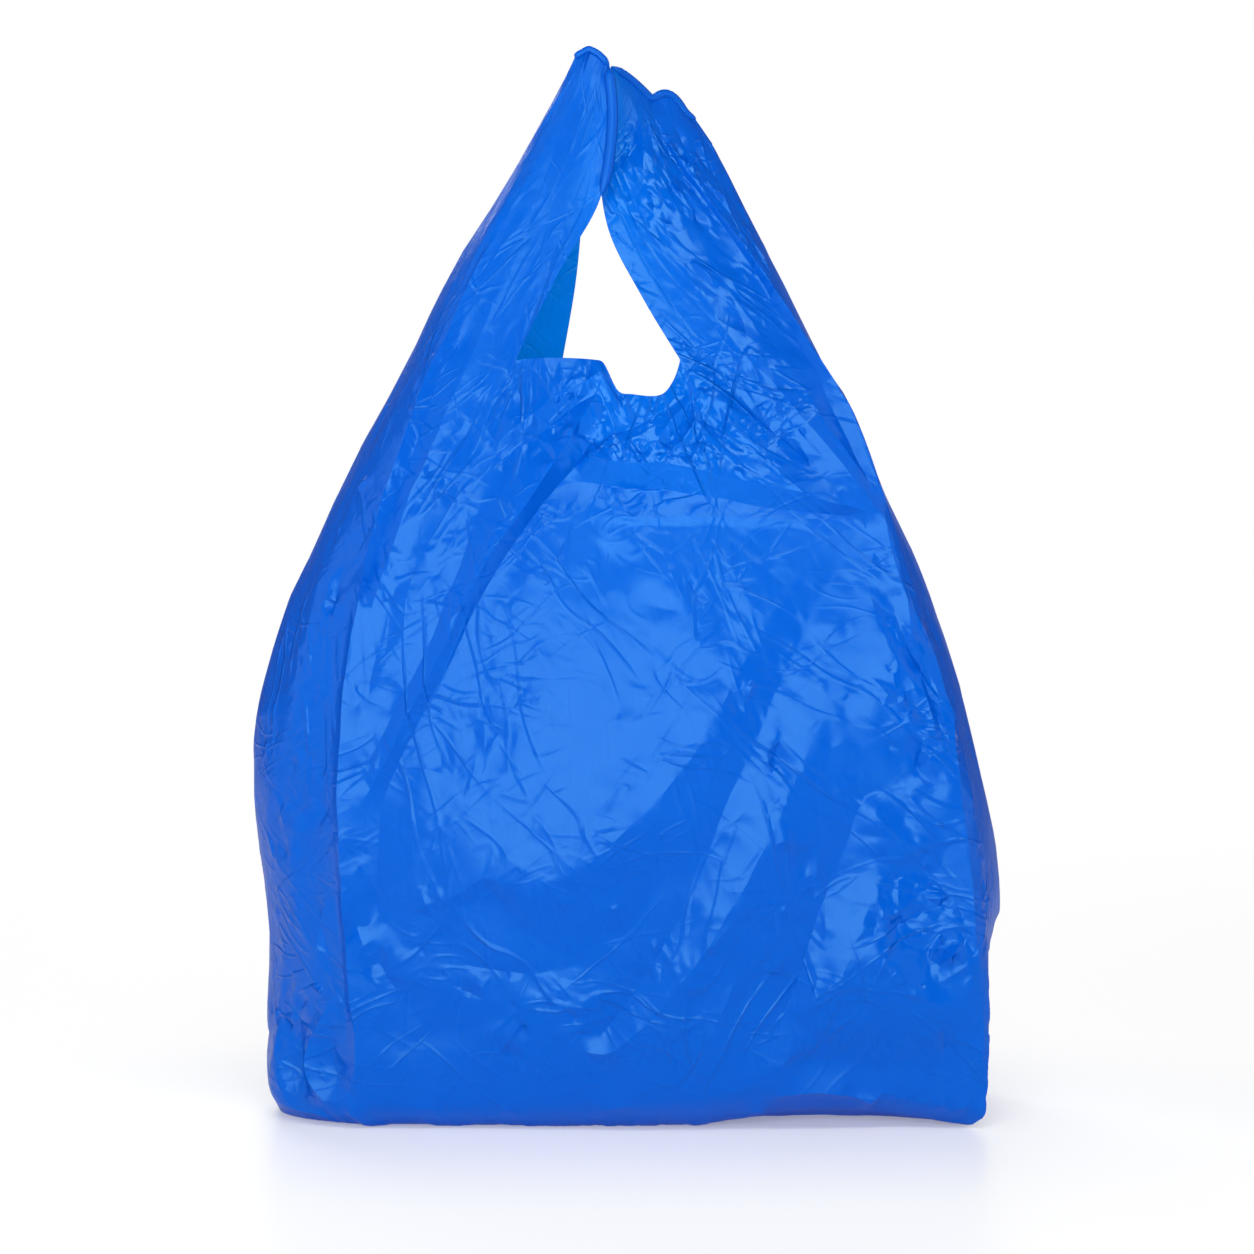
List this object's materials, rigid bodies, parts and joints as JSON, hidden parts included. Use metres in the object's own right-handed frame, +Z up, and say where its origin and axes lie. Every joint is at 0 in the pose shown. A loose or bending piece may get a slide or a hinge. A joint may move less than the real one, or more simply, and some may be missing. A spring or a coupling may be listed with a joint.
{
  "type": "carrier bag",
  "caption": "Vest-style carrier bag of thin blue plastic film with side gussets and loop handles, standing open, creased and slumped; holds shopping or household waste.",
  "frame": {"origin": "on the floor, under the middle of the bag's box", "axes": "+Z up from the base to the handles, front panel facing -Y, the taller handle on -X"},
  "size_m": [0.3556, 0.1736, 0.5048],
  "materials": {
    "film": "semi-gloss, slightly see-through film with fine wrinkles"
  },
  "bodies": {
    "root": {"bag": "film"}
  },
  "joints": []
}
